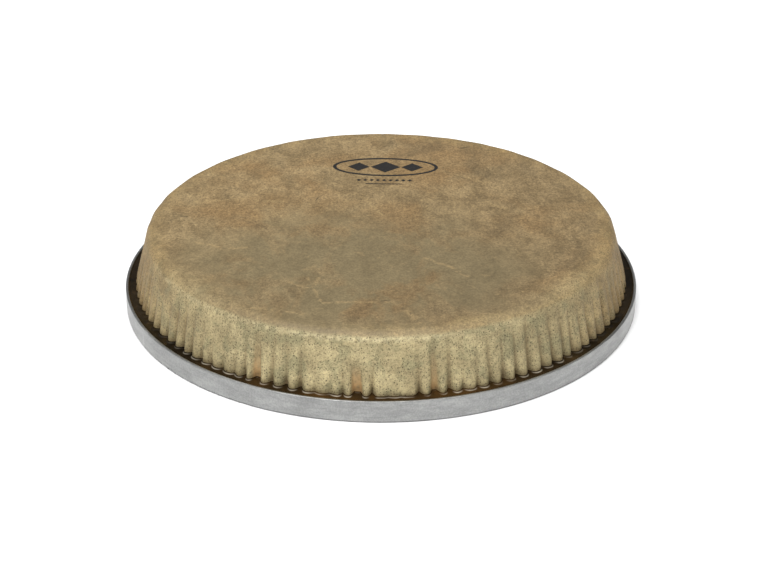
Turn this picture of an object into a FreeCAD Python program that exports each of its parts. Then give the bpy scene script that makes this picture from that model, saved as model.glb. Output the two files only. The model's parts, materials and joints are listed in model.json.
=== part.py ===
"""Synthetic drumhead for a darbuka, in millimetres.

A deep-collared polyester head is cast into a rolled aluminium channel hoop.
Origin: centre of the hoop's flat underside. +Z points up through the playing face.
Every piece is a body of revolution about Z, apart from the joint in the hoop and
the resin keys that pass through the foot of the film.
"""
import FreeCAD
import Part

import math
import os

from FreeCAD import Vector

# ---- driving dimensions -------------------------------------------------------------
SHELL_DIAMETER = 215.9      # drum shell that the head is made for, 8.5 in
SHELL_CLEARANCE = 1.55      # radial room between that shell and the hoop's bore
HOOP_RADIUS = 120.0         # outside of the hoop
HOOP_HEIGHT = 10.3
CHANNEL_WALL = 1.3          # thickness of both walls and the floor
INNER_WALL_HEIGHT = 8.5     # the bore's wall stops short of the rim
HEAD_HEIGHT = 37.3          # playing face above the hoop's underside
SHOULDER_RADIUS = 108.35    # where the flat face and the collar would meet
SHOULDER_ROUND = 5.4        # rounding that lies on the drum's bearing edge
FOOT_RADIUS = 114.4         # outside of the collar where it stands in the resin
FOOT_BEND = 7.0             # radius of the bend from the sloping collar to the foot
FOOT_BEND_HEIGHT = 11.0     # height where the sloping collar would reach the foot
FACE_PLY = 0.13             # printed outer ply
BASE_PLY = 0.26             # clear structural ply under it
FILM_EDGE = 3.0             # cut edge of the film above the hoop's underside
RESIN_LEVEL = 9.4           # outside the collar
RESIN_LEVEL_INSIDE = 8.1    # between the collar and the bore's wall
MENISCUS = 0.6              # how far the resin creeps up the walls
KEY_COUNT = 60              # holes in the film that the resin flows through
KEY_RADIUS = 1.25
KEY_HEIGHT = 5.6
KEY_MARGIN = 0.39           # how far the tool that pierces the film stands past it, each way
JOINT_ANGLE = 207.0         # where the rolled channel's two ends meet, degrees from +X
JOINT_GAP = 0.7
JOINT_MARGIN = 2.0          # how far the slab that cuts the joint stands past the channel

# ---- sizes worked out from them -----------------------------------------------------
BORE_RADIUS = SHELL_DIAMETER / 2 + SHELL_CLEARANCE
CHANNEL_IN = BORE_RADIUS + CHANNEL_WALL      # the channel's hollow starts here
CHANNEL_OUT = HOOP_RADIUS - CHANNEL_WALL     # and ends here
FILM = FACE_PLY + BASE_PLY

RIM_ROUND = 0.45            # both top corners of the outer wall
LIP_ROUND = 0.3             # both top corners of the inner wall
UNDER_ROUND = 0.8           # both bottom corners of the channel
FLOOR_ROUND = 0.8           # both corners inside the channel
HALF_WALL = CHANNEL_WALL / 2    # the resin starts this deep in the channel, until it is cut back

SAME_POINT = 1e-6           # points closer than this are one point

AXIS = Vector(0, 0, 1)
ORIGIN = Vector(0, 0, 0)


def at(radius, height):
    """A point of the section that is turned about Z."""
    return Vector(radius, 0, height)


def rounded(corners):
    """Edges of a closed outline. Each corner is (radius, height, rounding)."""
    points = [at(r, z) for r, z, _ in corners]
    count = len(corners)
    joins = []
    for i, (_, _, rounding) in enumerate(corners):
        corner = points[i]
        back = (points[i - 1] - corner).normalize()
        ahead = (points[(i + 1) % count] - corner).normalize()
        if rounding == 0:
            joins.append((corner, None, corner))
            continue
        half = back.getAngle(ahead) / 2
        reach = rounding / math.tan(half)
        middle = (back + ahead).normalize() * (rounding / math.sin(half) - rounding)
        joins.append((corner + back * reach, corner + middle, corner + ahead * reach))
    edges = []
    for i, (start, middle, end) in enumerate(joins):
        if middle is not None:
            edges.append(Part.Arc(start, middle, end).toShape())
        following = joins[(i + 1) % count][0]
        if (following - end).Length > SAME_POINT:
            edges.append(Part.LineSegment(end, following).toShape())
    return edges


def turned(corners):
    """The solid that an outline sweeps when it is turned once about Z."""
    face = Part.Face(Part.Wire(rounded(corners)))
    solid = face.revolve(ORIGIN, AXIS, 360)
    return solid if solid.Volume > 0 else solid.reversed()


def hoop_section():
    """U channel, open at the top, with the outer wall the taller one."""
    return [
        (BORE_RADIUS, 0, UNDER_ROUND),
        (HOOP_RADIUS, 0, UNDER_ROUND),
        (HOOP_RADIUS, HOOP_HEIGHT, RIM_ROUND),
        (CHANNEL_OUT, HOOP_HEIGHT, RIM_ROUND),
        (CHANNEL_OUT, CHANNEL_WALL, FLOOR_ROUND),
        (CHANNEL_IN, CHANNEL_WALL, FLOOR_ROUND),
        (CHANNEL_IN, INNER_WALL_HEIGHT, LIP_ROUND),
        (BORE_RADIUS, INNER_WALL_HEIGHT, LIP_ROUND),
    ]


def film_line(depth):
    """The head's outline from the axis to its cut edge, at a depth under its outer surface."""
    slope = (at(FOOT_RADIUS, FOOT_BEND_HEIGHT) - at(SHOULDER_RADIUS, HEAD_HEIGHT)).normalize()
    across, down = slope.x, -slope.z
    return [
        (0, HEAD_HEIGHT - depth, 0),
        (SHOULDER_RADIUS - depth * (1 - across) / down, HEAD_HEIGHT - depth, SHOULDER_ROUND - depth),
        (FOOT_RADIUS - depth, FOOT_BEND_HEIGHT - depth * (1 - down) / across, FOOT_BEND + depth),
        (FOOT_RADIUS - depth, FILM_EDGE, 0),
    ]


def ply(top, bottom):
    """One layer of the head, between two depths under its outer surface."""
    return turned(film_line(top) + film_line(bottom)[::-1])


def key_holes():
    """The pins of resin that lock the head in the channel, as one ring of short cylinders."""
    length = FILM + 2 * KEY_MARGIN
    start = FOOT_RADIUS - FILM - KEY_MARGIN
    holes = []
    for i in range(KEY_COUNT):
        angle = 2 * math.pi * i / KEY_COUNT
        outward = Vector(math.cos(angle), math.sin(angle), 0)
        base = outward * start + Vector(0, 0, KEY_HEIGHT)
        holes.append(Part.makeCylinder(KEY_RADIUS, length, base, outward))
    return Part.makeCompound(holes)


def joint_slice():
    """A thin upright slab across the channel where its two ends meet."""
    length = HOOP_RADIUS - BORE_RADIUS + 2 * JOINT_MARGIN
    slab = Part.makeBox(length, JOINT_GAP, HOOP_HEIGHT + 2 * JOINT_MARGIN)
    slab.translate(Vector(BORE_RADIUS - JOINT_MARGIN, -JOINT_GAP / 2, -JOINT_MARGIN))
    slab.rotate(ORIGIN, AXIS, JOINT_ANGLE)
    return slab


def resin_block():
    """The room that the resin fills, before the channel and the head are taken out of it."""
    inside = BORE_RADIUS + HALF_WALL
    outside = HOOP_RADIUS - HALF_WALL
    film_middle = FOOT_RADIUS - FILM / 2
    crept = RESIN_LEVEL + MENISCUS
    return turned([
        (inside, HALF_WALL, 0),
        (outside, HALF_WALL, 0),
        (outside, crept, 0),
        (CHANNEL_OUT, crept, 0),
        (CHANNEL_OUT, RESIN_LEVEL, MENISCUS),
        (FOOT_RADIUS, RESIN_LEVEL, MENISCUS),
        (FOOT_RADIUS, crept, 0),
        (film_middle, crept, 0),
        (film_middle, RESIN_LEVEL_INSIDE, 0),
        (inside, RESIN_LEVEL_INSIDE, 0),
    ])


def save(shape, node):
    """Writes one sub-part to parts/NODE.step and says how large it is."""
    shape.exportStep(f"parts/{node}.step")
    box = shape.BoundBox
    print(f"{node}: {len(shape.Solids)} solid, valid {shape.isValid()}, {shape.Volume:.0f} mm3, "
          f"{box.XLength:.2f} x {box.YLength:.2f} x {box.ZLength:.2f}")


os.makedirs("parts", exist_ok=True)

# Hoop: a U channel rolled into a ring, its ends joined by a weld that is dressed flush.
whole_hoop = turned(hoop_section())
save(whole_hoop.cut(joint_slice()), "channel_hoop")
save(whole_hoop.common(joint_slice()), "hoop_joint_weld")

# Head: a printed ply over a clear one, moulded together and pierced along the foot.
holes = key_holes()
face_ply = ply(0, FACE_PLY).cut(holes)
base_ply = ply(FACE_PLY, FILM).cut(holes)
save(face_ply, "skin_face_ply")
save(base_ply, "base_film_ply")

# Resin: poured into the channel round the foot of the head and through its holes.
resin = resin_block().cut(whole_hoop).cut(face_ply).cut(base_ply)
save(resin, "resin_bed")
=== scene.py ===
"""Looks of a cast drumhead: printed film with a crimped collar, set in resin in an aluminium channel.

Everything is in metres in the CAD model's frame: the origin is the centre of the hoop's underside,
+Z points up through the playing face, and -Y is the front. Angles round the head are counted from
the front, growing towards +X.
"""
import json
import math
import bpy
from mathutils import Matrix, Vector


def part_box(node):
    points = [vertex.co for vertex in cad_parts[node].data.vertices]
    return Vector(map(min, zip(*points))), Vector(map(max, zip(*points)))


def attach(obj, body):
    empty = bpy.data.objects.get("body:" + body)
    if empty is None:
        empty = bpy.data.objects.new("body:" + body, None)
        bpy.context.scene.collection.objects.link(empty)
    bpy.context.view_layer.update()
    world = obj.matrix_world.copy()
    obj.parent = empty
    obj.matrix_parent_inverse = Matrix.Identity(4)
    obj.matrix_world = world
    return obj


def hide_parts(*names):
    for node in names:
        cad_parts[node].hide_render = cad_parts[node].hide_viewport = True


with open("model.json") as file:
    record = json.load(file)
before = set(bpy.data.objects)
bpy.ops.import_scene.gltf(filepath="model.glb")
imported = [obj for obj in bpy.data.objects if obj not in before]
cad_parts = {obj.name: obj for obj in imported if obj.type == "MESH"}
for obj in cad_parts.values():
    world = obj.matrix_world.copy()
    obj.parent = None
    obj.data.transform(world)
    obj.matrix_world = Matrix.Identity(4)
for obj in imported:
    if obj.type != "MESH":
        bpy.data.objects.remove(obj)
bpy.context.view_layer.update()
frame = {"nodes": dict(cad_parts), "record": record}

from types import SimpleNamespace

import bpy
import numpy as np
from mathutils import Matrix, Vector

MM = 0.001

# ---- sizes taken from the frame -----------------------------------------------------------------
film_low, film_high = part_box("skin_face_ply")
resin_low, resin_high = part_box("resin_bed")
mounts = {mount["name"]: mount for mount in frame["record"]["mounts"]}

FACE_HEIGHT = film_high.z                       # playing face above the floor
FILM_EDGE = film_low.z                          # cut edge of the film, deep in the resin
FACE_PLY = FACE_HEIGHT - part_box("base_film_ply")[1].z
FILM = FACE_HEIGHT - mounts["bearing_face"]["pos_m"][2]
HOOP_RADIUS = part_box("channel_hoop")[1].x
CHANNEL_OUT = resin_high.x                      # inside of the hoop's outer wall
CHANNEL_IN = mounts["shell_bore"]["dims"]["r_mm"] * MM + HOOP_RADIUS - CHANNEL_OUT
CHANNEL_FLOOR = resin_low.z
CHANNEL_CORNER = 0.8 * MM                       # the corners inside the channel are cut off by this

# ---- the film's shape ---------------------------------------------------------------------------
COLUMNS = 1728                                  # mesh columns round the collar
SHOULDER_RADIUS = 108.35 * MM                   # where face and collar would meet
SHOULDER_ROUND = 5.4 * MM
CREST_RADIUS = film_high.x + 0.8 * MM           # crests of the folds, at the foot
BEND_HEIGHT = 11.0 * MM                         # where the sloping collar would reach the foot
BEND_ROUND = 9.0 * MM
FOOT_HEIGHT = 11.5 * MM                         # below this a fold has its full depth
FOLD_TOP = 36.0 * MM                            # a fold with a reach of 1 starts here
FOLD_DEPTH = 3.6 * MM                           # the deepest folds, at the foot
FOLD_FADE = 3.2 * MM                            # how soon the deep foot of a fold runs out
FACET_DEPTH = 0.30 * MM                         # the shoulder is slightly many-sided
FACET_SPANS = (8, 14)                           # degrees between two of its corners
FACE_WAVE = 0.10 * MM                           # the face isn't quite flat

# Mesh rows of the shoulder, the collar, the bend above the foot, and the foot.
SHOULDER_ROWS, COLLAR_ROWS, BEND_ROWS, FOOT_ROWS = 8, 10, 3, 3
COLLAR_CROWDING = 1.6                           # the collar's rows draw together towards its foot

# Rings of the flat face: share of its radius, and how many times fewer columns the ring has.
FACE_RINGS = (
    (0.11, 16), (0.20, 16), (0.29, 16), (0.38, 16), (0.47, 16), (0.56, 8), (0.64, 8),
    (0.72, 8), (0.79, 8), (0.85, 8), (0.90, 4), (0.94, 4), (0.97, 2),
)

# Runs of folds: first angle, step and number of folds, then depth (share of FOLD_DEPTH), half width
# in degrees, flat share of that width, reach (share of the collar's height), how much of the depth
# carries on up the collar as a crease, and how far each fold may wander in degrees.
FOLD_RUNS = (
    (68.8, 3.30, 68, 1.00, 1.60, 0.05, 1.00, 0.42, 0.55),
    (-67.2, 3.40, 4, 1.00, 1.60, 0.05, 0.92, 0.26, 0.45),
    (-53.4, 3.30, 4, 1.08, 1.60, 0.10, 0.95, 0.34, 0.30),
    (-40.2, 3.30, 3, 0.55, 1.55, 0.05, 0.85, 0.16, 0.20),
    (-31.0, 1.00, 1, 0.90, 1.25, 0.05, 0.80, 0.40, 0.00),
    (-28.0, 1.00, 1, 1.05, 1.75, 0.40, 0.78, 0.55, 0.00),
    (-24.4, 3.35, 3, 0.98, 1.60, 0.10, 0.82, 0.42, 0.08),
    (-14.4, 3.40, 2, 0.32, 1.70, 0.05, 0.50, 0.10, 0.10),
    (-8.2, 1.00, 1, 0.60, 1.10, 0.10, 0.60, 0.25, 0.00),
    (-5.1, 1.00, 1, 1.05, 1.75, 0.45, 0.52, 0.75, 0.00),
    (-1.9, 1.00, 1, 0.90, 1.20, 0.10, 0.60, 0.45, 0.00),
    (1.5, 2.70, 2, 0.16, 1.40, 0.05, 0.30, 0.00, 0.10),
    (8.2, 1.00, 1, 0.85, 1.35, 0.10, 0.80, 0.35, 0.00),
    (11.6, 1.00, 1, 1.05, 1.75, 0.28, 0.97, 0.62, 0.00),
    (14.9, 1.00, 1, 0.95, 1.50, 0.15, 0.92, 0.50, 0.00),
    (18.0, 3.20, 2, 0.60, 1.60, 0.05, 0.80, 0.25, 0.10),
    (24.5, 3.33, 6, 1.00, 1.60, 0.08, 1.00, 0.62, 0.22),
    (44.5, 3.40, 7, 1.05, 1.60, 0.06, 1.00, 0.58, 0.50),
)

# How far the folds of a run that wanders may differ from the run's own measures, as shares of them.
FULLY_LOOSE = 0.2                               # degrees of wander that allow the whole difference
SHALLOWER = 0.45
WIDER = 0.12                                    # or narrower
SHORTER = 0.35
CREASE_CHANGE = 0.6                             # either way
FOLD_LEAN = 0.5                                 # degrees that any fold may lean over its reach

# How a fold's section and its depth fall off.
FLOOR_SOFTNESS = 0.05                           # rounds the bottom of a fold
SIDE_POWER = 2                                  # the sides come up as this power of their share
RUN_OUT_POWER = 0.8                             # the depth runs out up the collar
CREASE_POWER = 5                                # the painted shade of a crease keeps to its middle
CREASE_RUN_OUT = 0.5
OPEN_FLOOR = 2.4                                # a flat share of 1 / this counts as a fully open floor
FULL_CREASE = 2.2                               # a crease of 1 / this gets the full painted shade

# ---- the resin ----------------------------------------------------------------------------------
RESIN_LEVEL = resin_high.z - 0.6 * MM           # the CAD's resin creeps up by that much
RESIN_LEVEL_INSIDE = 8.1 * MM
CREEP_AT_FILM = 1.1 * MM                        # how far it climbs the folds
CREEP_AT_WALL = 0.5 * MM
CREEP_REACH = 0.38 * MM                         # how quickly the climb dies away
RESIN_ROWS = 16                                 # mesh rows between the film and the outer wall
RESIN_ROWS_INSIDE = 7
RESIN_CROWDING = 1.7                            # they are finest beside the film
GLINT_PLACE = 0.55 * MM                          # painted highlight: the foot of its climb catches the light in a pale line
GLINT_WIDTH = 0.18 * MM
CONTACT = 0.05 * MM                             # overlap that keeps light out of the seams
NEARBY_COLUMNS = 24                             # the film's nearest point is within this many columns

SHARP_EDGE = math.radians(75)                   # faces that meet at more than this show an edge

random = np.random.default_rng(8)


# ---- outlines -----------------------------------------------------------------------------------
def rounded(before, corner, after, radius, steps):
    """Points of the arc that rounds a corner of an outline of (radius, height) points."""
    back = (before - corner).normalized()
    ahead = (after - corner).normalized()
    half = back.angle(ahead) / 2
    centre = corner + (back + ahead).normalized() * (radius / math.sin(half))
    start = corner + back * (radius / math.tan(half)) - centre
    end = corner + ahead * (radius / math.tan(half)) - centre
    chord = [start.lerp(end, step / steps) for step in range(steps + 1)]
    return [centre + point.normalized() * radius for point in chord]


def straight(start, end, steps, crowding=1.0):
    """Points between two ends, without the ends. A crowding over 1 draws them towards the end."""
    return [start.lerp(end, 1 - (1 - step / steps) ** crowding) for step in range(1, steps)]


def crest_outline():
    """The film's outer surface along the crest of a fold, from the face's edge to the cut edge."""
    axis = Vector((0, FACE_HEIGHT))
    shoulder = Vector((SHOULDER_RADIUS, FACE_HEIGHT))
    bend = Vector((CREST_RADIUS, BEND_HEIGHT))
    edge = Vector((CREST_RADIUS, FILM_EDGE))
    top = rounded(axis, shoulder, bend, SHOULDER_ROUND, SHOULDER_ROWS)
    low = rounded(shoulder, bend, edge, BEND_ROUND, BEND_ROWS)
    collar = straight(top[-1], low[0], COLLAR_ROWS, COLLAR_CROWDING)
    foot = straight(low[-1], edge, FOOT_ROWS)
    return np.array(top + collar + low + foot + [edge])


def all_folds():
    """Every fold as a row: angle, depth, half width, flat share, height of its top, crease, lean."""
    rows = []
    for first, step, count, depth, half_width, flat, reach, crease, wander in FOLD_RUNS:
        loose = min(1.0, wander / FULLY_LOOSE)
        for i in range(count):
            rows.append((
                math.radians(first + step * i + random.uniform(-wander, wander)),
                FOLD_DEPTH * depth * (1 - SHALLOWER * loose * random.random() ** 1.5),
                math.radians(half_width * (1 + WIDER * loose * random.uniform(-1, 1))),
                flat,
                FOOT_HEIGHT + (FOLD_TOP - FOOT_HEIGHT) * reach * (1 - SHORTER * loose * random.random()),
                crease * (1 + CREASE_CHANGE * loose * random.uniform(-1, 1)),
                math.radians(FOLD_LEAN * random.uniform(-1, 1)),
            ))
    return np.array(rows)


FOLDS = all_folds()
ANGLES = np.radians(np.arange(COLUMNS) * 360 / COLUMNS - 180)


def fold_depth(angles, heights):
    """How far the film is folded in from its crest line, how much the place belongs to the open floor
    of a flat-bottomed fold (0 to 1), and how much painted shade it gets near the middle of a crease
    (0 to 1).
    """
    depth = np.zeros(np.broadcast(angles, heights).shape)
    floor = np.zeros(depth.shape)
    near = np.zeros(depth.shape)
    for angle, deepest, half_width, flat, top, crease, lean in FOLDS:
        rise = np.clip((heights - FOOT_HEIGHT) / (top - FOOT_HEIGHT), 0, 1)
        foot = np.exp(-np.clip(heights - FOOT_HEIGHT, 0, None) / FOLD_FADE)
        across = (angles - angle - lean * rise + np.pi) % (2 * np.pi) - np.pi
        side = np.clip((np.hypot(across / half_width, FLOOR_SOFTNESS) - flat) / (1 - flat), 0, 1)
        share = (1 - crease) * foot + crease
        here = deepest * (1 - side) ** SIDE_POWER * share * (1 - rise) ** RUN_OUT_POWER
        # painted shade along the middle of a crease
        dark = (1 - side) ** CREASE_POWER * (1 - rise) ** CREASE_RUN_OUT
        depth = np.maximum(depth, here)
        floor = np.maximum(floor, here / FOLD_DEPTH * min(1, OPEN_FLOOR * flat))
        near = np.maximum(near, dark * min(1, FULL_CREASE * crease))
    return depth, floor, near


def facet_corners():
    """Angles where the slightly many-sided shoulder has its corners."""
    corners = [-math.pi]
    while corners[-1] < math.pi:
        corners.append(corners[-1] + math.radians(random.uniform(*FACET_SPANS)))
    corners[-1] = math.pi
    return np.array(corners)


FACET_CORNERS = facet_corners()


def facets(angles):
    """How far the shoulder is drawn in between its corners, from 0 to 1."""
    side = np.clip(np.searchsorted(FACET_CORNERS, angles, side="right"), 1, len(FACET_CORNERS) - 1)
    start, end = FACET_CORNERS[side - 1], FACET_CORNERS[side]
    return 0.5 - 0.5 * np.cos(2 * np.pi * (angles - start) / (end - start))


def face_wave(x, y):
    """The slow rise and fall of the playing face: two crossed swells and a shorter, slanting one."""
    wave = np.sin(x * 38 + 1.3) * np.sin(y * 31 + 0.4) + 0.6 * np.sin(x * 71 - y * 54 + 2.0)
    return FACE_WAVE * wave


# ---- meshes -------------------------------------------------------------------------------------
def make_piece(name, points, faces, material):
    """One piece, smooth-shaded up to its sharp edges, that rides the head."""
    mesh = bpy.data.meshes.new(name)
    mesh.from_pydata([tuple(p) for p in points], [], faces)
    mesh.shade_smooth()
    mesh.set_sharp_from_angle(angle=SHARP_EDGE)
    mesh.materials.append(material)
    piece = bpy.data.objects.new(name, mesh)
    bpy.context.scene.collection.objects.link(piece)
    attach(piece, "root")
    return piece


def add_attribute(piece, name, values):
    """Gives every point of a piece a number that its material can read."""
    attribute = piece.data.attributes.new(name, "FLOAT", "POINT")
    attribute.data.foreach_set("value", values.astype(np.float32))


def ring_faces(inner, outer, inner_count, outer_count):
    """Faces between two rings, numbered from `inner` and `outer`. The outer one may be twice as fine."""
    faces = []
    for i in range(inner_count):
        j = (i + 1) % inner_count
        if inner_count == outer_count:
            faces.append((inner + i, outer + i, outer + j, inner + j))
            continue
        left, middle, right = outer + 2 * i, outer + 2 * i + 1, outer + 2 * j
        faces.append((inner + i, left, middle))
        faces.append((inner + i, middle, inner + j))
        faces.append((inner + j, middle, right))
    return faces


def film_sheet():
    """The film's outer surface: points, faces, and each point's shares of an open floor and of painted
    crease shade.
    """
    outline = crest_outline()
    flat_radius = outline[0][0]
    rings = [(flat_radius * share, FACE_HEIGHT, COLUMNS // fewer) for share, fewer in FACE_RINGS]
    rings += [(radius, height, COLUMNS) for radius, height in outline]
    points, shares, faces = [np.array([[0, 0, FACE_HEIGHT + face_wave(0, 0)]])], [np.zeros((1, 2))], []
    start, previous = 1, None
    for radius, height, count in rings:
        angles = ANGLES[::COLUMNS // count]
        near_top = np.clip((height - 0.5 * FACE_HEIGHT) / (0.5 * FACE_HEIGHT), 0, 1)
        at_shoulder = near_top * np.clip((radius / flat_radius - 0.9) / 0.1, 0, 1)
        depth, floor, near = fold_depth(angles, height)
        out = radius - depth - FACET_DEPTH * facets(angles) * at_shoulder
        x, y = out * np.sin(angles), -out * np.cos(angles)
        points.append(np.stack([x, y, height + face_wave(x, y) * near_top], 1))
        shares.append(np.stack([floor, near], 1))
        if previous is None:
            faces += [(0, start + i, start + (i + 1) % count) for i in range(count)]
        else:
            faces += ring_faces(previous[0], start, previous[1], count)
        previous = (start, count)
        start += count
    return np.concatenate(points), faces, np.concatenate(shares)


def normals_of(points, faces):
    """Unit normals at a surface's points."""
    mesh = bpy.data.meshes.new("scratch")
    mesh.from_pydata([tuple(p) for p in points], [], faces)
    found = np.zeros(len(points) * 3)
    mesh.vertices.foreach_get("normal", found)
    bpy.data.meshes.remove(mesh)
    return found.reshape(-1, 3)


def layer(name, sheet, normals, top, bottom, material):
    """One ply of the film: the closed shell between two depths under the outer surface."""
    points, faces, shares = sheet
    count = len(points)
    last = count - COLUMNS
    shell = np.concatenate([points - normals * top, points - normals * bottom])
    under = [tuple(count + i for i in reversed(face)) for face in faces]
    rim = [
        (last + i, last + count + i, last + count + (i + 1) % COLUMNS, last + (i + 1) % COLUMNS)
        for i in range(COLUMNS)
    ]
    piece = make_piece(name, shell, faces + under + rim, material)
    add_attribute(piece, "floor", np.tile(shares[:, 0], 2))
    # the crease attribute carries the share of painted crease shade
    add_attribute(piece, "crease", np.tile(shares[:, 1], 2))
    return piece


def on_circle(radii):
    """Points of a closed line, one at each column, from their distances to the axis."""
    return np.stack([radii * np.sin(ANGLES), -radii * np.cos(ANGLES)], 1)


def distance_to(line, points):
    """Distance from points, one at each column, to a closed line with one point at each column."""
    nearest = np.full(COLUMNS, np.inf)
    for shift in range(-NEARBY_COLUMNS, NEARBY_COLUMNS + 1):
        away = points - np.roll(line, shift, axis=0)
        nearest = np.minimum(nearest, np.hypot(away[:, 0], away[:, 1]))
    return nearest


def resin_surface(wall, film, level, count):
    """Rows of the resin's top, from a wall of the channel to the film, with its creep up both and
    the share of a painted highlight, a pale line which runs round the crests of the folds.
    """
    line = on_circle(film)
    at_crest = np.clip(1 - 2 * (film.max() - film) / FOLD_DEPTH, 0, 1)
    rows = []
    for row in range(count + 1):
        radii = film + (wall - film) * (1 - row / count) ** RESIN_CROWDING
        away = distance_to(line, on_circle(radii))
        climb = CREEP_AT_FILM * np.exp(-away / CREEP_REACH)
        climb += CREEP_AT_WALL * np.exp(-np.abs(radii - wall) / CREEP_REACH)
        # share of the painted highlight line, round the crests
        edge = np.exp(-((away - GLINT_PLACE) / GLINT_WIDTH) ** 2) * at_crest
        rows.append((radii, level + climb, edge))
    return rows


def buried_rings(points):
    """The rings of one side of the film that stand in the resin, from the cut edge up."""
    return [points[len(points) - COLUMNS * back:][:COLUMNS] for back in range(1, FOOT_ROWS + 1)]


def resin_rows(outer_points, inner_points):
    """The resin's outline at every column, as rows of (radii, heights, share of the painted highlight
    line).
    """
    outer, inner = buried_rings(outer_points), buried_rings(inner_points)
    outer_foot, inner_foot = (np.hypot(rings[-1][:, 0], rings[-1][:, 1]) for rings in (outer, inner))
    rows = resin_surface(CHANNEL_OUT + CONTACT, outer_foot - 2 * CONTACT, RESIN_LEVEL, RESIN_ROWS)
    for ring in outer[::-1] + inner:
        rows.append((np.hypot(ring[:, 0], ring[:, 1]), ring[:, 2], 0))
    inside = resin_surface(CHANNEL_IN - CONTACT, inner_foot + 2 * CONTACT, RESIN_LEVEL_INSIDE,
                           RESIN_ROWS_INSIDE)
    rows += inside[::-1]
    for radius, height in (
        (CHANNEL_IN, CHANNEL_FLOOR + CHANNEL_CORNER),
        (CHANNEL_IN + CHANNEL_CORNER, CHANNEL_FLOOR),
        (CHANNEL_OUT - CHANNEL_CORNER, CHANNEL_FLOOR),
        (CHANNEL_OUT, CHANNEL_FLOOR + CHANNEL_CORNER),
    ):
        rows.append((np.full(COLUMNS, radius), height, 0))
    return rows


def resin_piece(outer_points, inner_points, material):
    """The cast resin, with the slot that the film stands in."""
    points, edges, faces = [], [], []
    rows = resin_rows(outer_points, inner_points)
    for radii, heights, edge in rows:
        points.append(np.column_stack([on_circle(radii), np.broadcast_to(heights, COLUMNS)]))
        edges.append(np.broadcast_to(edge, COLUMNS))
    for row in range(len(rows)):
        following = (row + 1) % len(rows)
        faces += ring_faces(following * COLUMNS, row * COLUMNS, COLUMNS, COLUMNS)
    piece = make_piece("cast_resin", np.concatenate(points), faces, material)
    # the edge attribute carries the share of the painted highlight line
    add_attribute(piece, "edge", np.concatenate(edges))
    return piece


# ---- the printed badge --------------------------------------------------------------------------
BADGE_CENTRE = Vector((2.2 * MM, 63.0 * MM))
BADGE_TURN = math.radians(-2.2)
INK = 0.03 * MM                                 # the ink reaches this far over and under the face

# Its shapes in millimetres, as half widths and half heights. Places are from its centre.
BAND = ((26.0, 11.2), (24.3, 9.5))              # the oval band's outer and inner outline
LOZENGES = ((0, 7.4, 6.6), (-13.2, 5.4, 5.0), (13.2, 5.4, 5.0))     # each after its place sideways
SMALL_LOZENGE = (1.15, 1.3)
SMALL_COUNT = 9
SMALL_PITCH = 3.1
SMALL_PLACE = -16.0                             # of their row, downwards
BAR = (9.0, 0.45)
BAR_PLACE = -20.4
OVAL_STEPS = 160
BAR_END_STEPS = 8


def on_badge(u, v):
    """A point of the badge, in millimetres from its centre, as a point of the face."""
    turned = Matrix.Rotation(BADGE_TURN, 2) @ Vector((u * MM, v * MM)) + BADGE_CENTRE
    return turned.x, turned.y


def ink_patch(loops, points, faces):
    """Adds one patch of ink: a filled loop, or the band between an outer and an inner loop."""
    start, sizes = len(points), [len(loop) for loop in loops]
    for lift in (INK, -INK):
        for loop in loops:
            for u, v in loop:
                x, y = on_badge(u, v)
                points.append((x, y, FACE_HEIGHT + face_wave(x, y) + lift))
    under = start + sum(sizes)
    count = sizes[0]
    for i in range(count):
        j = (i + 1) % count
        faces.append((start + j, start + i, under + i, under + j))
        if len(loops) == 2:
            inner, inner_under = start + count, under + count
            faces.append((start + i, start + j, inner + j, inner + i))
            faces.append((under + j, under + i, inner_under + i, inner_under + j))
            faces.append((inner + i, inner + j, inner_under + j, inner_under + i))
    if len(loops) == 1:
        faces.append(tuple(range(start, start + count)))
        faces.append(tuple(range(under + count - 1, under - 1, -1)))


def oval(half_width, half_height):
    """A closed oval."""
    turns = [2 * math.pi * i / OVAL_STEPS for i in range(OVAL_STEPS)]
    return [(half_width * math.cos(t), half_height * math.sin(t)) for t in turns]


def lozenge(u, v, half_width, half_height):
    """A diamond shape."""
    return [(u + half_width, v), (u, v + half_height), (u - half_width, v), (u, v - half_height)]


def bar(v, half_width, half_height):
    """A level bar with rounded ends."""
    ends = []
    for side in (1, -1):
        for i in range(BAR_END_STEPS + 1):
            turn = math.pi * (i / BAR_END_STEPS - 0.5)
            u = half_width - half_height + half_height * math.cos(turn)
            ends.append((side * u, v + side * half_height * math.sin(turn)))
    return ends


def badge_piece(material):
    """A plain emblem: an oval band round three lozenges, over a row of small ones and a bar."""
    points, faces = [], []
    ink_patch([oval(*outline) for outline in BAND], points, faces)
    for u, half_width, half_height in LOZENGES:
        ink_patch([lozenge(u, 0, half_width, half_height)], points, faces)
    for i in range(SMALL_COUNT):
        u = (i - (SMALL_COUNT - 1) / 2) * SMALL_PITCH
        ink_patch([lozenge(u, SMALL_PLACE, *SMALL_LOZENGE)], points, faces)
    ink_patch([bar(BAR_PLACE, *BAR)], points, faces)
    piece = make_piece("face_badge", points, faces, material)
    piece.data.shade_flat()
    return piece


# ---- materials: the nodes -----------------------------------------------------------------------
def colour(red, green, blue):
    """An opaque colour, linear."""
    return (red, green, blue, 1.0)


def grey(value):
    """An opaque grey, linear."""
    return colour(value, value, value)


def add(tree, kind, inputs=None, **settings):
    """One node. Its inputs are values or other nodes' outputs, by the socket's name or number."""
    node = tree.nodes.new("ShaderNode" + kind)
    for name, value in settings.items():
        setattr(node, name, value)
    for key, value in (inputs or {}).items():
        if isinstance(value, bpy.types.NodeSocket):
            tree.links.new(value, node.inputs[key])
        else:
            node.inputs[key].default_value = value
    return node


def maths(tree, operation, *values, clamp=False):
    """A Math node's result."""
    return add(tree, "Math", dict(enumerate(values)), operation=operation, use_clamp=clamp).outputs[0]


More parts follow.
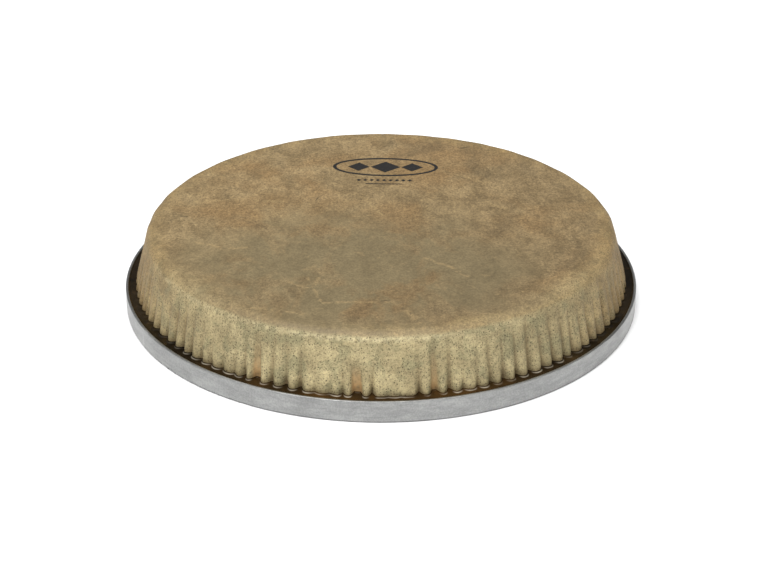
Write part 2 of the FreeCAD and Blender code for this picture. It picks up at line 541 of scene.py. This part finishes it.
def times(tree, first, second):
    """The product of two values."""
    return maths(tree, "MULTIPLY", first, second)


def linear(tree, value, slope, start):
    """A value times a slope, plus a start."""
    return maths(tree, "MULTIPLY_ADD", value, slope, start)


def vectors(tree, operation, *values):
    """A Vector Math node's vector."""
    return add(tree, "VectorMath", dict(enumerate(values)), operation=operation).outputs[0]


def attribute(tree, name):
    """A number that the piece's points carry."""
    return add(tree, "Attribute", attribute_name=name).outputs["Fac"]


def blend(tree, share, first, second, kind="MIX"):
    """Two colours mixed by a share."""
    colours = {0: share, 6: first, 7: second}
    return add(tree, "Mix", colours, data_type="RGBA", blend_type=kind).outputs[2]


def ramp(tree, value, low, high):
    """0 at low, 1 at high and smooth between."""
    limits = {"Value": value, "From Min": low, "From Max": high}
    return add(tree, "MapRange", limits, interpolation_type="SMOOTHSTEP").outputs[0]


def noise(tree, place, scale, detail=3.0, roughness=0.5, distortion=0.0):
    """A noise texture's value. Scale is in waves per metre."""
    inputs = {"Vector": place, "Scale": scale, "Detail": detail,
              "Roughness": roughness, "Distortion": distortion}
    return add(tree, "TexNoise", inputs).outputs[0]


def pores(tree, place, spacing, size):
    """Small dark dots, some darker than others: up to 1 in a dot, 0 between."""
    cell = add(tree, "TexVoronoi", {"Vector": place, "Scale": 1 / spacing})
    dot = ramp(tree, cell.outputs["Distance"], size, size * 0.4)
    chosen = add(tree, "SeparateColor", {0: cell.outputs["Color"]}).outputs[0]
    return times(tree, dot, ramp(tree, chosen, 0.15, 1.0))


def level_away(tree, place, centre):
    """The level vector from an upright line through a point of the face."""
    return vectors(tree, "MULTIPLY", vectors(tree, "SUBTRACT", place, (*centre, 0)), (1, 1, 0))


def distance_from(tree, place, centre):
    """Level distance from an upright line through a point of the face."""
    away = level_away(tree, place, centre)
    return add(tree, "VectorMath", {0: away}, operation="LENGTH").outputs["Value"]


def stroke(tree, place, start, end, half_width):
    """A straight pen stroke on the face: 1 on its line, 0 beyond its width."""
    run = (Vector(end) - Vector(start)) * MM
    away = level_away(tree, place, (start[0] * MM, start[1] * MM))
    rate = (run.x / run.length_squared, run.y / run.length_squared, 0)
    along = add(tree, "VectorMath", {0: away, 1: rate}, operation="DOT_PRODUCT").outputs["Value"]
    reached = maths(tree, "ADD", along, 0.0, clamp=True)
    both = add(tree, "CombineXYZ", {0: reached, 1: reached}).outputs[0]
    nearest = vectors(tree, "MULTIPLY", both, (run.x, run.y, 0))
    off = add(tree, "VectorMath", {0: away, 1: nearest}, operation="DISTANCE").outputs["Value"]
    return ramp(tree, off, half_width * MM, 0.1 * half_width * MM)


def strokes(tree, place, lines):
    """All strokes of some lines of the print, as one mask."""
    mask = None
    for half_width, corners in lines:
        for start, end in zip(corners, corners[1:]):
            one = stroke(tree, place, start, end, half_width)
            mask = one if mask is None else maths(tree, "MAXIMUM", mask, one)
    return mask


def grain_over(tree, base, value, spread):
    """Lightens and darkens a colour with a noise value, by a share of itself each way."""
    light = colour(1 + spread, 1 + spread, 1 + 0.9 * spread)
    factor = blend(tree, ramp(tree, value, 0.25, 0.75), grey(1 - spread), light)
    return blend(tree, 1.0, base, factor, "MULTIPLY")


def new_material(name, **constants):
    """A material with one Principled shader: its tree, shader and object coordinates."""
    material = bpy.data.materials.new(name)
    material.use_nodes = True
    tree = material.node_tree
    tree.nodes.clear()
    sockets = {key.replace("_", " "): value for key, value in constants.items()}
    shader = add(tree, "BsdfPrincipled", sockets)
    add(tree, "OutputMaterial", {"Surface": shader.outputs[0]})
    place = add(tree, "TexCoord").outputs["Object"]
    return material, tree, shader, place


def finish_surface(tree, shader, base, rough, height, depth, strength):
    """Links colour and roughness, and a bump with its depth in metres."""
    tree.links.new(base, shader.inputs["Base Color"])
    tree.links.new(rough, shader.inputs["Roughness"])
    bump = add(tree, "Bump", {"Height": height, "Distance": depth, "Strength": strength})
    tree.links.new(bump.outputs[0], shader.inputs["Normal"])


# ---- materials: the printed skin ----------------------------------------------------------------
BODY_TAN = (colour(0.190, 0.136, 0.070), colour(0.286, 0.209, 0.111))
BODY_GREY = (colour(0.172, 0.134, 0.073), colour(0.209, 0.164, 0.090))
BLOTCH = colour(0.122, 0.092, 0.052)
RUST = colour(0.235, 0.146, 0.065)
BORDER_CREAM = (colour(0.328, 0.267, 0.143), colour(0.484, 0.402, 0.222))
BORDER_TAN = (colour(0.270, 0.182, 0.079), colour(0.389, 0.270, 0.120))
BORDER_GREEN = colour(0.256, 0.230, 0.126)
RIM_TAN = colour(0.330, 0.248, 0.120)
# painted highlight: sheen along the shoulder
SHOULDER_SHEEN = colour(0.600, 0.520, 0.320)
FLECK = colour(0.330, 0.235, 0.115)
PORE = colour(0.062, 0.048, 0.027)
# painted warm light, bounced in the folds and shining through the film
WARM_BOUNCE_LIGHT = colour(0.490, 0.312, 0.142)
# painted shade in the creases, also used for the darkening above the resin
SHADE_AND_WET_BROWN = colour(0.120, 0.078, 0.036)

# The print is darker at the right and at the front: what it is multiplied by at each end.
LEFT_TO_RIGHT = (colour(1.05, 1.04, 1.02), colour(0.91, 0.89, 0.87))
FRONT_TO_BACK = (colour(0.94, 0.94, 0.93), colour(1.08, 1.08, 1.07))

NOISE_SHIFT = (3.1, 1.7, 0.6)                   # keeps noises of like scale from falling together
DRAWN_OUT = (1.15, 0.72, 1.0)                   # blotches are longer from front to back

# Limits are where a part of the print begins and where it is full, along X, along Y, up Z or out
# from the axis. Noise makes them ragged: it moves them by up to the size beside them.
ACROSS_LIMITS = (-110 * MM, 110 * MM)           # X: from left to right
ALONG_LIMITS = (-100 * MM, 110 * MM)            # Y: from front to back
GREY_CENTRE = (-12, -52)                        # the print's grey middle, in millimetres
GREY_FLATNESS = 1.25                            # it is this much wider than deep
GREY_LIMITS = (128 * MM, 78 * MM)               # out from that centre
GREY_RAGGED = 60 * MM
RIM_LIMITS = (116 * MM, 123 * MM)               # out: tan rim of the face
RIM_RAGGED = 30 * MM
RIM_SIDE_LIMITS = (-30 * MM, 50 * MM)           # X: it is stronger at the right
FRONT_LIMITS = (0, -85 * MM)                    # Y: the front's paler border
FRONT_RAGGED = 30 * MM
FOREMOST_LIMITS = (-97 * MM, -110 * MM)         # Y: the very front of the collar
BORDER_LIMITS = (-0.2 * MM, -2.2 * MM)          # Z: down from the face
BORDER_RAGGED = 1.6 * MM
INNER_LIMITS = (114 * MM, 127 * MM)             # out: the border on the face's rim
INNER_RAGGED = (6 * MM, 30 * MM)                # finely and widely
INNER_BACK_LIMITS = (-92 * MM, -60 * MM)        # Y: it is left out at the front
SHEEN_LINE_HEIGHT = -3.2 * MM                    # Z: painted highlight, a pale line of sheen round the shoulder, from the face
SHEEN_LINE_LIMITS = (2.0 * MM, 0.2 * MM)         # up and down from it
SHEEN_LINE_LEFT = (-82 * MM, -100 * MM)          # Y and half of X: it shows at the left front
FOOT_DARK_LIMITS = (4.2 * MM, 2.0 * MM)             # Z: up from the resin, the print darkens towards it: partly painted shade at the foot, partly film wetted by resin
FOOT_DARK_RAGGED = 2.0 * MM

# Lines of the print as points of the face in millimetres, each with its half width.
VEINS = (
    (1.30, ((-27, -57), (-30, -68), (-25, -81), (6, -81), (10, -88))),
    (2.60, ((10, -88), (18, -103))),
    (1.30, ((-30, -68), (-42, -62))),
    (1.60, ((-15, 38), (-10, 29), (1, 8))),
    (1.50, ((19, -38), (28, -44), (38, -57))),
    (1.50, ((-61, -84), (-34, -92))),
    (1.90, ((-84, -22), (-70, -30), (-62, -27))),
    (1.60, ((48, 22), (60, 14), (74, 16))),
    (2.40, ((-96, 20), (-70, 26), (-48, 22))),
    (2.00, ((30, 58), (52, 44), (60, 30))),
)
MARKS = (
    (0.70, ((1, -80), (4, -79.5))),
    (0.75, ((40, 86), (43, 88))),
    (0.65, ((-94, 6), (-91, 6))),
    (0.65, ((-31, 24), (-30, 27))),
)
LINE_WANDER = 5 * MM                            # how far noise carries a line, to and fro together
COARSE_PORES = (1.15 * MM, 0.40)                # spacing, and their size as a share of it
FINE_PORES = (0.80 * MM, 0.42)


def print_parts(tree, place):
    """Places and noises that several parts of the print use."""
    x, y, z = add(tree, "SeparateXYZ", {0: place}).outputs
    shifted = vectors(tree, "ADD", place, NOISE_SHIFT)
    drawn = vectors(tree, "MULTIPLY", place, DRAWN_OUT)
    cloud = noise(tree, place, 16, 3, 0.5, 0.5)
    return SimpleNamespace(
        x=x, y=y, z=z, shifted=shifted,
        mottle=noise(tree, drawn, 82, 5, 0.63, 0.4),
        blotch=noise(tree, vectors(tree, "ADD", drawn, NOISE_SHIFT), 40, 5, 0.64, 0.5),
        wide=noise(tree, shifted, 20, 3, 0.55, 0.4),
        small=noise(tree, shifted, 330, 3, 0.6),
        grain=noise(tree, place, 1000, 2, 0.7),
        green=ramp(tree, noise(tree, shifted, 105, 5, 0.66, 0.6), 0.46, 0.62),
        from_axis=distance_from(tree, place, (0, 0)),
        front=ramp(tree, linear(tree, cloud, FRONT_RAGGED, y), *FRONT_LIMITS),
        foremost=ramp(tree, y, *FOREMOST_LIMITS),
    )


def print_face(tree, place, parts):
    """The face's brown with its blotches and smooth grey middle, and the share outside that middle."""
    flattened = vectors(tree, "MULTIPLY", place, (1, GREY_FLATNESS, 1))
    centre = (GREY_CENTRE[0] * MM, GREY_FLATNESS * GREY_CENTRE[1] * MM)
    from_middle = linear(tree, parts.wide, GREY_RAGGED, distance_from(tree, flattened, centre))
    middle = times(tree, ramp(tree, from_middle, *GREY_LIMITS), ramp(tree, parts.blotch, 0.66, 0.46))
    tan = blend(tree, ramp(tree, parts.mottle, 0.34, 0.66), *BODY_TAN)
    tan = blend(tree, times(tree, ramp(tree, parts.wide, 0.46, 0.66), 0.6), tan, RUST)
    tan = blend(tree, times(tree, ramp(tree, parts.blotch, 0.53, 0.68), 0.42), tan, BLOTCH)
    smooth = blend(tree, ramp(tree, parts.mottle, 0.30, 0.70), *BODY_GREY)
    base = blend(tree, middle, tan, smooth)
    across = blend(tree, ramp(tree, parts.x, *ACROSS_LIMITS), *LEFT_TO_RIGHT)
    along = blend(tree, ramp(tree, parts.y, *ALONG_LIMITS), *FRONT_TO_BACK)
    base = blend(tree, 1.0, base, across, "MULTIPLY")
    base = blend(tree, 1.0, base, along, "MULTIPLY")

    # a ragged tan rim, strongest at the front and the right
    rim = ramp(tree, linear(tree, parts.blotch, RIM_RAGGED, parts.from_axis), *RIM_LIMITS)
    rim = times(tree, rim, linear(tree, ramp(tree, parts.x, *RIM_SIDE_LIMITS), 0.7, 0.3))
    base = blend(tree, times(tree, rim, linear(tree, parts.front, 0.40, 0.10)), base, RIM_TAN)
    return base, maths(tree, "SUBTRACT", 1.0, middle)


def print_border(tree, parts):
    """The border on collar and shoulder: cream at the front, browner at the sides and back, with
    green clouds, and a painted highlight in a pale line round the shoulder at the left front.
    """
    tone = ramp(tree, parts.mottle, 0.36, 0.66)
    pale = blend(tree, parts.front, blend(tree, tone, *BORDER_TAN), blend(tree, tone, *BORDER_CREAM))
    clouds = times(tree, parts.green, linear(tree, parts.front, 0.45, 0.25))
    pale = blend(tree, clouds, pale, BORDER_GREEN)
    pale = blend(tree, 1.0, pale, blend(tree, parts.foremost, grey(0.83), grey(0.95)), "MULTIPLY")
    # painted highlight: a pale line of sheen round the shoulder, at the left front
    off_line = maths(tree, "ABSOLUTE", maths(tree, "SUBTRACT", parts.z, FACE_HEIGHT + SHEEN_LINE_HEIGHT))
    line = times(tree, ramp(tree, off_line, *SHEEN_LINE_LIMITS), ramp(tree, parts.small, 0.36, 0.58))
    leftward = ramp(tree, linear(tree, parts.x, 0.5, parts.y), *SHEEN_LINE_LEFT)
    leftward = times(tree, leftward, linear(tree, parts.foremost, 0.28, 0.15))
    return blend(tree, times(tree, line, leftward), pale, SHOULDER_SHEEN)


def border_share(tree, parts):
    """Where the border shows: under the face, and thinly on the face's rim at the sides and back."""
    limits = (FACE_HEIGHT + height for height in BORDER_LIMITS)
    over = ramp(tree, linear(tree, parts.small, BORDER_RAGGED, parts.z), *limits)
    finely, widely = INNER_RAGGED
    within = linear(tree, parts.small, finely, linear(tree, parts.wide, widely, parts.from_axis))
    backward = linear(tree, ramp(tree, parts.y, *INNER_BACK_LIMITS), 0.60, 0.05)
    within = times(tree, ramp(tree, within, *INNER_LIMITS), backward)
    return maths(tree, "MAXIMUM", over, within)


def with_lines_and_grain(tree, place, parts, base, outer, collar):
    """The print with its veins, flecks, fine grain and stray marks."""
    wander = add(tree, "TexNoise", {"Vector": place, "Scale": 90.0, "Detail": 4.0}).outputs["Color"]
    crooked = vectors(tree, "MULTIPLY_ADD", wander, (LINE_WANDER, LINE_WANDER, 0), place)
    crooked = vectors(tree, "SUBTRACT", crooked, (LINE_WANDER / 2, LINE_WANDER / 2, 0))
    bare = maths(tree, "SUBTRACT", 1.0, collar)
    veins = times(tree, strokes(tree, crooked, VEINS), ramp(tree, parts.small, 0.36, 0.56))
    flecks = ramp(tree, noise(tree, parts.shifted, 170, 4, 0.6, 0.6), 0.60, 0.74)
    light = maths(tree, "MAXIMUM", times(tree, veins, 0.48), times(tree, flecks, 0.35))
    base = blend(tree, times(tree, light, bare), base, FLECK)
    base = grain_over(tree, base, parts.small, 0.09)
    base = grain_over(tree, base, parts.grain, 0.18)
    rough_grain = noise(tree, vectors(tree, "MULTIPLY", parts.shifted, (1, 0.8, 1)), 900, 3, 0.75)
    base = blend(tree, times(tree, outer, bare), base, grain_over(tree, base, rough_grain, 0.30))
    return blend(tree, times(tree, strokes(tree, crooked, MARKS), 0.8), base, PORE)


def pore_share(tree, place, parts, outer, collar):
    """Pores: thick on the border, fewer on the brown of the face, hardly any in its middle."""
    dots = maths(tree, "MAXIMUM", pores(tree, place, *COARSE_PORES),
                 pores(tree, parts.shifted, *FINE_PORES))
    pepper = ramp(tree, noise(tree, parts.shifted, 1500, 1, 0.5), 0.56, 0.70)
    dots = maths(tree, "MAXIMUM", dots, times(tree, pepper, 0.5))
    dense = linear(tree, parts.green, 0.12, 0.86)
    sparse = linear(tree, outer, 0.40, 0.08)
    return times(tree, dots, linear(tree, collar, maths(tree, "SUBTRACT", dense, sparse), sparse))


def with_folds(tree, parts, base):
    """Painted shade along the creases; the print darker above the resin, partly painted shade at the
    foot and partly film wetted by resin; and painted warm light, bounced in the fold and shining
    through the film, on the open floor of a flat-bottomed fold.
    """
    bounce_light = ramp(tree, attribute(tree, "floor"), 0.10, 0.80)
    # painted shade in the creases, lighter on an open floor
    dark = times(tree, attribute(tree, "crease"), linear(tree, bounce_light, -0.30, 0.52))
    base = blend(tree, dark, base, SHADE_AND_WET_BROWN)
    # painted warm light on the open floor of a fold
    base = blend(tree, times(tree, bounce_light, ramp(tree, parts.small, 0.10, 0.60)), base, WARM_BOUNCE_LIGHT)
    # the print darker towards the resin: partly painted shade at the foot, partly film wetted by resin
    limits = (RESIN_LEVEL + height for height in FOOT_DARK_LIMITS)
    foot_dark = ramp(tree, linear(tree, parts.small, FOOT_DARK_RAGGED, parts.z), *limits)
    return blend(tree, times(tree, foot_dark, 0.42), base, SHADE_AND_WET_BROWN)


def skin_print():
    """Calfskin print: brown with a smooth grey middle and pale veins, and a border full of pores."""
    material, tree, shader, place = new_material("calfskin_print", IOR=1.45, Specular_IOR_Level=0.32)
    parts = print_parts(tree, place)
    base, outer = print_face(tree, place, parts)
    collar = border_share(tree, parts)
    base = blend(tree, collar, base, print_border(tree, parts))
    base = with_lines_and_grain(tree, place, parts, base, outer, collar)
    dots = pore_share(tree, place, parts, outer, collar)
    base = with_folds(tree, parts, blend(tree, dots, base, PORE))
    rough = linear(tree, collar, 0.22, linear(tree, parts.mottle, 0.22, 0.36))
    height = maths(tree, "SUBTRACT", times(tree, parts.grain, 0.5), dots)
    finish_surface(tree, shader, base, rough, height, 0.05 * MM, 0.5)
    return material


# ---- materials: the rest ------------------------------------------------------------------------
HAZE = (colour(0.47, 0.40, 0.27), colour(0.60, 0.53, 0.38))
HAZE_FINE = colour(0.38, 0.33, 0.22)
# near black to dark brown in mottles: partly tone that differs at random, partly painted reflections of
# the folds
RESIN_DARK = (colour(0.006, 0.004, 0.002), colour(0.026, 0.017, 0.007))
# painted warm light at the front
RESIN_WARM_LIGHT = (colour(0.022, 0.013, 0.005), colour(0.062, 0.031, 0.009))
RESIN_SPECK = colour(0.070, 0.038, 0.014)
# painted highlight round the film's foot
RESIN_GLINT = colour(0.560, 0.500, 0.390)
RESIN_SHEEN = colour(1.0, 0.84, 0.60)
RESIN_WARM_LIGHT_LIMITS = (-70 * MM, -112 * MM)       # Y: painted warm light towards the front, from light through the resin bouncing off the film's foot
RESIN_GLINT_LIMITS = (-55 * MM, -100 * MM)       # Y: its painted highlight line shows there
HOOP_METAL = (colour(0.284, 0.286, 0.284), colour(0.345, 0.347, 0.345))
WELD_METAL = (grey(0.34), grey(0.42))
SCRATCH = grey(0.22)
# painted shade: thin dark line along the hoop's lower edge
UNDER_EDGE_SHADE = grey(0.09)
INK_BLACK = (colour(0.012, 0.011, 0.010), colour(0.045, 0.038, 0.028))
PAPER = (grey(0.94), grey(0.96))


def base_film():
    """Hazy clear film: the print shows through it as a pale, blurred tan."""
    material, tree, shader, place = new_material("hazy_film", IOR=1.5)
    cloud = noise(tree, place, 22, 4, 0.55, 0.5)
    fine = noise(tree, place, 240, 3, 0.6)
    tint = blend(tree, ramp(tree, cloud, 0.35, 0.68), *HAZE)
    tint = blend(tree, times(tree, fine, 0.2), tint, HAZE_FINE)
    finish_surface(tree, shader, tint, linear(tree, cloud, 0.18, 0.16), fine, 0.02 * MM, 0.4)
    return material


def amber_resin():
    """Dark casting resin, from near black to dark brown in mottles that are partly painted reflections
    of the folds, turned orange-brown at the front by painted warm light, with a painted highlight in a
    thin pale line round the film.
    """
    material, tree, shader, place = new_material("amber_resin", IOR=1.5, Specular_IOR_Level=0.11,
                                                 Specular_Tint=RESIN_SHEEN)
    y = add(tree, "SeparateXYZ", {0: place}).outputs[1]
    # mottles: partly tone that differs at random, partly painted reflections of the folds
    patch = ramp(tree, noise(tree, place, 45, 4, 0.6, 0.4), 0.36, 0.70)
    fine = noise(tree, place, 420, 3, 0.6)
    # painted warm light towards the front
    front = ramp(tree, y, *RESIN_WARM_LIGHT_LIMITS)
    tint = blend(tree, front, blend(tree, patch, *RESIN_DARK), blend(tree, patch, *RESIN_WARM_LIGHT))
    tint = blend(tree, times(tree, ramp(tree, fine, 0.55, 0.75), 0.3), tint, RESIN_SPECK)
    broken = ramp(tree, noise(tree, place, 110, 2, 0.5), 0.30, 0.62)
    # painted highlight: a thin pale line round the film
    edge = times(tree, attribute(tree, "edge"), broken)
    edge = times(tree, edge, ramp(tree, y, *RESIN_GLINT_LIMITS))
    tint = blend(tree, times(tree, edge, 0.65), tint, RESIN_GLINT)
    ripple = noise(tree, place, 160, 2, 0.5)
    finish_surface(tree, shader, tint, linear(tree, fine, 0.08, 0.03), ripple, 0.05 * MM, 0.5)
    return material


def rolled_aluminium(name, metal, rough_low, rough_high, lines):
    """Mill-finish aluminium with fine lines round the hoop, smudges, scratches and painted shade along
    its lower edge.
    """
    material, tree, shader, place = new_material(name, Metallic=1.0)
    x, y, z = add(tree, "SeparateXYZ", {0: place}).outputs
    radius = maths(tree, "SQRT", maths(tree, "ADD", times(tree, x, x), times(tree, y, y)))
    turn = maths(tree, "ARCTAN2", x, times(tree, y, -1.0))
    unrolled = add(tree, "CombineXYZ", {0: turn, 1: z, 2: radius}).outputs[0]

    def run(round_hoop, across, roughness):
        """Noise in lines round the hoop: waves to a radian, and waves to a metre across them."""
        return noise(tree, vectors(tree, "MULTIPLY", unrolled, (round_hoop, across, across)), 1.0, 3,
                     roughness)

    line = run(lines, 3200, 0.65)
    streak = run(lines * 1.5, 620, 0.6)
    scratch = run(lines * 5, 1500, 0.7)
    smudge = noise(tree, place, 70, 5, 0.65, 0.4)
    tint = blend(tree, ramp(tree, smudge, 0.32, 0.68), *metal)
    tint = grain_over(tree, tint, streak, 0.12)
    tint = grain_over(tree, tint, noise(tree, place, 1400, 1, 0.5), 0.10)
    tint = blend(tree, times(tree, ramp(tree, scratch, 0.60, 0.72), 0.4), tint, SCRATCH)
    # painted shade: a thin dark line along the lower edge
    tint = blend(tree, ramp(tree, z, 0.9 * MM, 0.2 * MM), tint, UNDER_EDGE_SHADE)
    rough = linear(tree, smudge, 0.08, linear(tree, line, rough_high - rough_low, rough_low))
    finish_surface(tree, shader, tint, rough, linear(tree, scratch, 0.7, line), 0.03 * MM, 0.5)
    return material


def printing_ink():
    """Black screen-printing ink, a little worn."""
    material, tree, shader, place = new_material("printing_ink", IOR=1.45)
    wear = noise(tree, place, 900, 3, 0.6)
    tree.links.new(blend(tree, ramp(tree, wear, 0.58, 0.75), *INK_BLACK), shader.inputs["Base Color"])
    tree.links.new(linear(tree, wear, 0.2, 0.35), shader.inputs["Roughness"])
    return material


def white_paper():
    """White paper sweep."""
    material, tree, shader, place = new_material("white_paper", Roughness=0.9)
    tree.links.new(blend(tree, noise(tree, place, 3, 2), *PAPER), shader.inputs["Base Color"])
    return material


# ---- the object ---------------------------------------------------------------------------------
sheet = film_sheet()
outer_points, sheet_faces, _ = sheet
sheet_normals = normals_of(outer_points, sheet_faces)
face_ply = layer("skin_face", sheet, sheet_normals, 0, FACE_PLY, skin_print())
base_ply = layer("base_film", sheet, sheet_normals, FACE_PLY, FILM, base_film())
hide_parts("skin_face_ply")
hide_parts("base_film_ply")

resin = resin_piece(outer_points, outer_points - sheet_normals * FILM, amber_resin())
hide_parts("resin_bed")

badge_piece(printing_ink())

for node, material in (
    ("channel_hoop", rolled_aluminium("rolled_aluminium", HOOP_METAL, 0.32, 0.46, 9)),
    ("hoop_joint_weld", rolled_aluminium("dressed_weld", WELD_METAL, 0.30, 0.44, 60)),
):
    mesh = frame["nodes"][node].data
    mesh.materials.clear()
    mesh.materials.append(material)

# ---- studio -------------------------------------------------------------------------------------
FLOOR_HALF = 3.0
SKY = (grey(0.10), grey(0.9))                   # surroundings at the horizon and overhead
# Soft lamps: angle from the front, elevation and width in degrees, strength.
LAMPS = (
    ("key_lamp", -30, 55, 55, 2.5),
    ("fill_lamp", 35, 42, 50, 0.55),
    ("top_lamp", 0, 88, 40, 0.45),
)

CAMERA_DISTANCE = 8 * HOOP_RADIUS
CAMERA_ELEVATION = math.radians(27.38)
CAMERA_LENS = 95.4
CAMERA_SHIFT = 0.0152
CAMERA_NEAR = 0.05


def studio_floor():
    """White floor that the head lies on."""
    mesh = bpy.data.meshes.new("studio_floor")
    corners = [(-FLOOR_HALF, -FLOOR_HALF, 0), (FLOOR_HALF, -FLOOR_HALF, 0),
               (FLOOR_HALF, FLOOR_HALF, 0), (-FLOOR_HALF, FLOOR_HALF, 0)]
    mesh.from_pydata(corners, [], [(0, 1, 2, 3)])
    mesh.materials.append(white_paper())
    floor = bpy.data.objects.new("studio_floor", mesh)
    bpy.context.scene.collection.objects.link(floor)


def surroundings():
    """Dim surroundings that are pale overhead."""
    world = bpy.data.worlds.new("studio")
    world.use_nodes = True
    tree = world.node_tree
    height = add(tree, "SeparateXYZ", {0: add(tree, "TexCoord").outputs["Generated"]}).outputs[2]
    glow = blend(tree, ramp(tree, height, 0.35, 0.95), *SKY)
    tree.links.new(glow, tree.nodes["Background"].inputs["Color"])
    bpy.context.scene.world = world


def lamps():
    """Soft lamps from the front left, the front right and above."""
    for name, azimuth, elevation, spread, strength in LAMPS:
        lamp = bpy.data.lights.new(name, "SUN")
        lamp.angle = math.radians(spread)
        lamp.energy = strength
        holder = bpy.data.objects.new(name, lamp)
        turn, lift = math.radians(azimuth), math.radians(elevation)
        away = Vector((math.sin(turn) * math.cos(lift), -math.cos(turn) * math.cos(lift), math.sin(lift)))
        holder.rotation_euler = (-away).to_track_quat("-Z", "Y").to_euler()
        bpy.context.scene.collection.objects.link(holder)


def camera():
    """A long lens at the front, looking down on the origin."""
    lens = bpy.data.cameras.new("camera")
    lens.lens = CAMERA_LENS
    lens.shift_y = CAMERA_SHIFT
    lens.clip_start = CAMERA_NEAR
    holder = bpy.data.objects.new("camera", lens)
    holder.location = (0, -CAMERA_DISTANCE * math.cos(CAMERA_ELEVATION),
                       CAMERA_DISTANCE * math.sin(CAMERA_ELEVATION))
    holder.rotation_euler = (math.pi / 2 - CAMERA_ELEVATION, 0, 0)
    bpy.context.scene.collection.objects.link(holder)
    bpy.context.scene.camera = holder


studio_floor()
surroundings()
lamps()
camera()
bpy.context.scene.view_settings.view_transform = "Standard"
